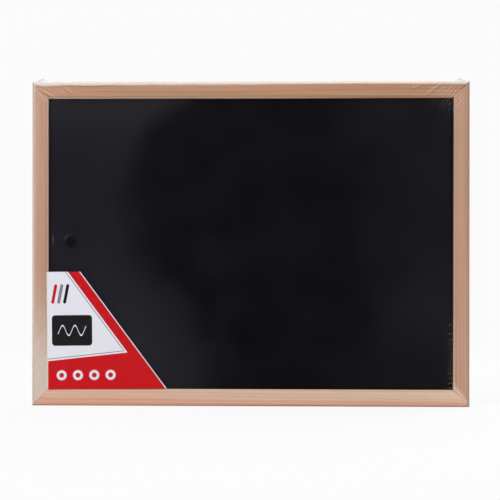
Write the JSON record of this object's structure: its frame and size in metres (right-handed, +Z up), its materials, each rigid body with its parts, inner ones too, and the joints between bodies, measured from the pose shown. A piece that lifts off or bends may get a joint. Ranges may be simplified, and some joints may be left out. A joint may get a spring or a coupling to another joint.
{
  "type": "magnetic writing board",
  "caption": "Wall board with a black coated steel writing sheet in a mitred wooden frame, hung from two swinging rings, with a printed card in its corner.",
  "frame": {"origin": "middle of the board on the plane of the rails' backs, which turns to the wall", "axes": "+X to the right as seen from the front, +Y out of the back towards the wall, +Z up"},
  "size_m": [0.4, 0.0157, 0.297],
  "materials": {
    "frame_wood": "satin",
    "black_coat": "matte",
    "hardboard": "matte",
    "nail_steel": "satin",
    "hanger_steel": "satin",
    "ring_wire": "satin",
    "printed_card": "satin",
    "clear_film": "gloss"
  },
  "bodies": {
    "board": {"top_rail": "frame_wood", "right_rail": "frame_wood", "bottom_rail": "frame_wood", "left_rail": "frame_wood", "writing_sheet": "black_coat", "core_board": "hardboard", "top_right_nails": "nail_steel", "bottom_right_nails": "nail_steel", "bottom_left_nails": "nail_steel", "top_left_nails": "nail_steel", "left_strap": "hanger_steel", "right_strap": "hanger_steel", "left_screw": "hanger_steel", "right_screw": "hanger_steel", "corner_card": "printed_card"},
    "left_hanger_ring": {"left_ring": "ring_wire"},
    "right_hanger_ring": {"right_ring": "ring_wire"}
  },
  "joints": [
    {"name": "left_ring_swing", "type": "hinge", "parent": "board", "child": "left_hanger_ring", "pos_m": [-0.1903, 0.0016, 0.0985], "axis": [1, 0, 0], "range_deg": [0, 180]},
    {"name": "right_ring_swing", "type": "hinge", "parent": "board", "child": "right_hanger_ring", "pos_m": [0.1903, 0.0016, 0.0985], "axis": [1, 0, 0], "range_deg": [0, 180]}
  ]
}
